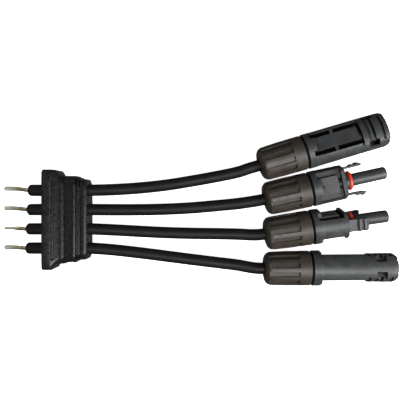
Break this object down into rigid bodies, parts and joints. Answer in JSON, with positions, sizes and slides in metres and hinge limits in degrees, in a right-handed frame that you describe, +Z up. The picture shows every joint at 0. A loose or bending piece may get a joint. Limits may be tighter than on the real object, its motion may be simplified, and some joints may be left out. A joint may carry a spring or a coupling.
{
  "type": "solar cable connector",
  "caption": "Moulded gland block with tinned conductors on one face and leads fanning out to locking single-pole solar plugs, two long shells and two latched probes.",
  "frame": {"origin": "centre of the gland flange's flat front face, level with the leads' axes", "axes": "+X from the gland to the plugs, +Y across the leads towards plug 1, +Z up as the harness lies on a table"},
  "size_m": [0.2103, 0.0932, 0.019],
  "materials": {
    "gland_rubber": "moulded, satin",
    "lead_jacket": "matte jacket",
    "tinned_copper": "tinned strands and contacts",
    "bare_copper": "bare copper strands",
    "black_seal": "matte",
    "spring_metal": "spring strip",
    "nut_plastic": "textured brown-grey moulding",
    "cage_plastic": "plain",
    "housing_plastic": "satin grey moulding",
    "red_seal": "silicone"
  },
  "bodies": {
    "harness": {"gland_body": "gland_rubber", "jacket_end_1": "lead_jacket", "jacket_end_2": "lead_jacket", "jacket_end_3": "lead_jacket", "jacket_end_4": "lead_jacket", "conductor_tip_1": "tinned_copper", "conductor_tip_2": "tinned_copper", "conductor_tip_3": "tinned_copper", "conductor_tip_4": "tinned_copper", "cable_1": "lead_jacket", "cable_2": "lead_jacket", "cable_3": "lead_jacket", "cable_4": "lead_jacket", "crimped_strands_1": "bare_copper", "crimped_strands_2": "bare_copper", "crimped_strands_3": "bare_copper", "crimped_strands_4": "bare_copper", "ring_seal_1": "black_seal", "ring_seal_2": "black_seal", "ring_seal_3": "black_seal", "ring_seal_4": "black_seal", "cable_seal_1": "black_seal", "cable_seal_2": "black_seal", "cable_seal_3": "black_seal", "cable_seal_4": "black_seal", "contact_clip_1": "spring_metal", "contact_clip_2": "spring_metal", "contact_clip_3": "spring_metal", "contact_clip_4": "spring_metal", "shell_housing_1": "housing_plastic", "shell_housing_4": "housing_plastic", "contact_pin_1": "tinned_copper", "contact_pin_4": "tinned_copper", "probe_housing_2": "housing_plastic", "probe_housing_3": "housing_plastic", "interface_ring_2": "red_seal", "interface_ring_3": "red_seal", "contact_socket_2": "tinned_copper", "contact_socket_3": "tinned_copper", "contact_band_2": "spring_metal", "contact_band_3": "spring_metal"},
    "cage_1": {"clamp_cage_1": "cage_plastic"},
    "nut_1": {"cap_nut_1": "nut_plastic"},
    "cage_2": {"clamp_cage_2": "cage_plastic"},
    "nut_2": {"cap_nut_2": "nut_plastic"},
    "cage_3": {"clamp_cage_3": "cage_plastic"},
    "nut_3": {"cap_nut_3": "nut_plastic"},
    "cage_4": {"clamp_cage_4": "cage_plastic"},
    "nut_4": {"cap_nut_4": "nut_plastic"},
    "arm_2a": {"latch_arm_2a": "housing_plastic"},
    "arm_2b": {"latch_arm_2b": "housing_plastic"},
    "arm_3a": {"latch_arm_3a": "housing_plastic"},
    "arm_3b": {"latch_arm_3b": "housing_plastic"}
  },
  "joints": [
    {"name": "cage_slide_1", "type": "slide", "parent": "harness", "child": "cage_1", "axis": [-0.9593, -0.2823, 0], "range_m": [0, 0.0045]},
    {"name": "nut_turn_1", "type": "hinge", "parent": "cage_1", "child": "nut_1", "pos_m": [0.12617, 0.0324, 0], "axis": [-0.9593, -0.2823, 0], "range_deg": [0, 1080]},
    {"name": "cage_slide_2", "type": "slide", "parent": "harness", "child": "cage_2", "axis": [-0.9763, -0.2164, 0], "range_m": [0, 0.0045]},
    {"name": "nut_turn_2", "type": "hinge", "parent": "cage_2", "child": "nut_2", "pos_m": [0.12893, 0.01327, 0], "axis": [-0.9763, -0.2164, 0], "range_deg": [0, 1080]},
    {"name": "cage_slide_3", "type": "slide", "parent": "harness", "child": "cage_3", "axis": [-0.9893, -0.1461, 0], "range_m": [0, 0.0045]},
    {"name": "nut_turn_3", "type": "hinge", "parent": "cage_3", "child": "nut_3", "pos_m": [0.12935, -0.0063, 0], "axis": [-0.9893, -0.1461, 0], "range_deg": [0, 1080]},
    {"name": "cage_slide_4", "type": "slide", "parent": "harness", "child": "cage_4", "axis": [-1, -0.0087, 0], "range_m": [0, 0.0045]},
    {"name": "nut_turn_4", "type": "hinge", "parent": "cage_4", "child": "nut_4", "pos_m": [0.129, -0.02647, 0], "axis": [-1, -0.0087, 0], "range_deg": [0, 1080]},
    {"name": "latch_flex_2a", "type": "hinge", "parent": "harness", "child": "arm_2a", "pos_m": [0.14743, 0.02453, 0.00037], "axis": [-0.0113, 0.0511, -0.9986], "range_deg": [0, 3.5], "stiffness_Nm_per_rad": 2},
    {"name": "latch_flex_2b", "type": "hinge", "parent": "harness", "child": "arm_2b", "pos_m": [0.15046, 0.01088, -0.00037], "axis": [0.0113, -0.0511, 0.9986], "range_deg": [0, 3.5], "stiffness_Nm_per_rad": 2},
    {"name": "latch_flex_3a", "type": "hinge", "parent": "harness", "child": "arm_3a", "pos_m": [0.14988, -0.00498, 0.00679], "axis": [-0.1417, 0.9599, 0.2419], "range_deg": [0, 3.5], "stiffness_Nm_per_rad": 2},
    {"name": "latch_flex_3b", "type": "hinge", "parent": "harness", "child": "arm_3b", "pos_m": [0.14938, -0.00162, -0.00679], "axis": [0.1417, -0.9599, -0.2419], "range_deg": [0, 3.5], "stiffness_Nm_per_rad": 2}
  ],
  "couplings": [
    {"joint": "nut_turn_1", "follows": "cage_slide_1", "rad_per_m": 4188.7},
    {"joint": "nut_turn_2", "follows": "cage_slide_2", "rad_per_m": 4188.7},
    {"joint": "nut_turn_3", "follows": "cage_slide_3", "rad_per_m": 4188.7},
    {"joint": "nut_turn_4", "follows": "cage_slide_4", "rad_per_m": 4188.7}
  ]
}
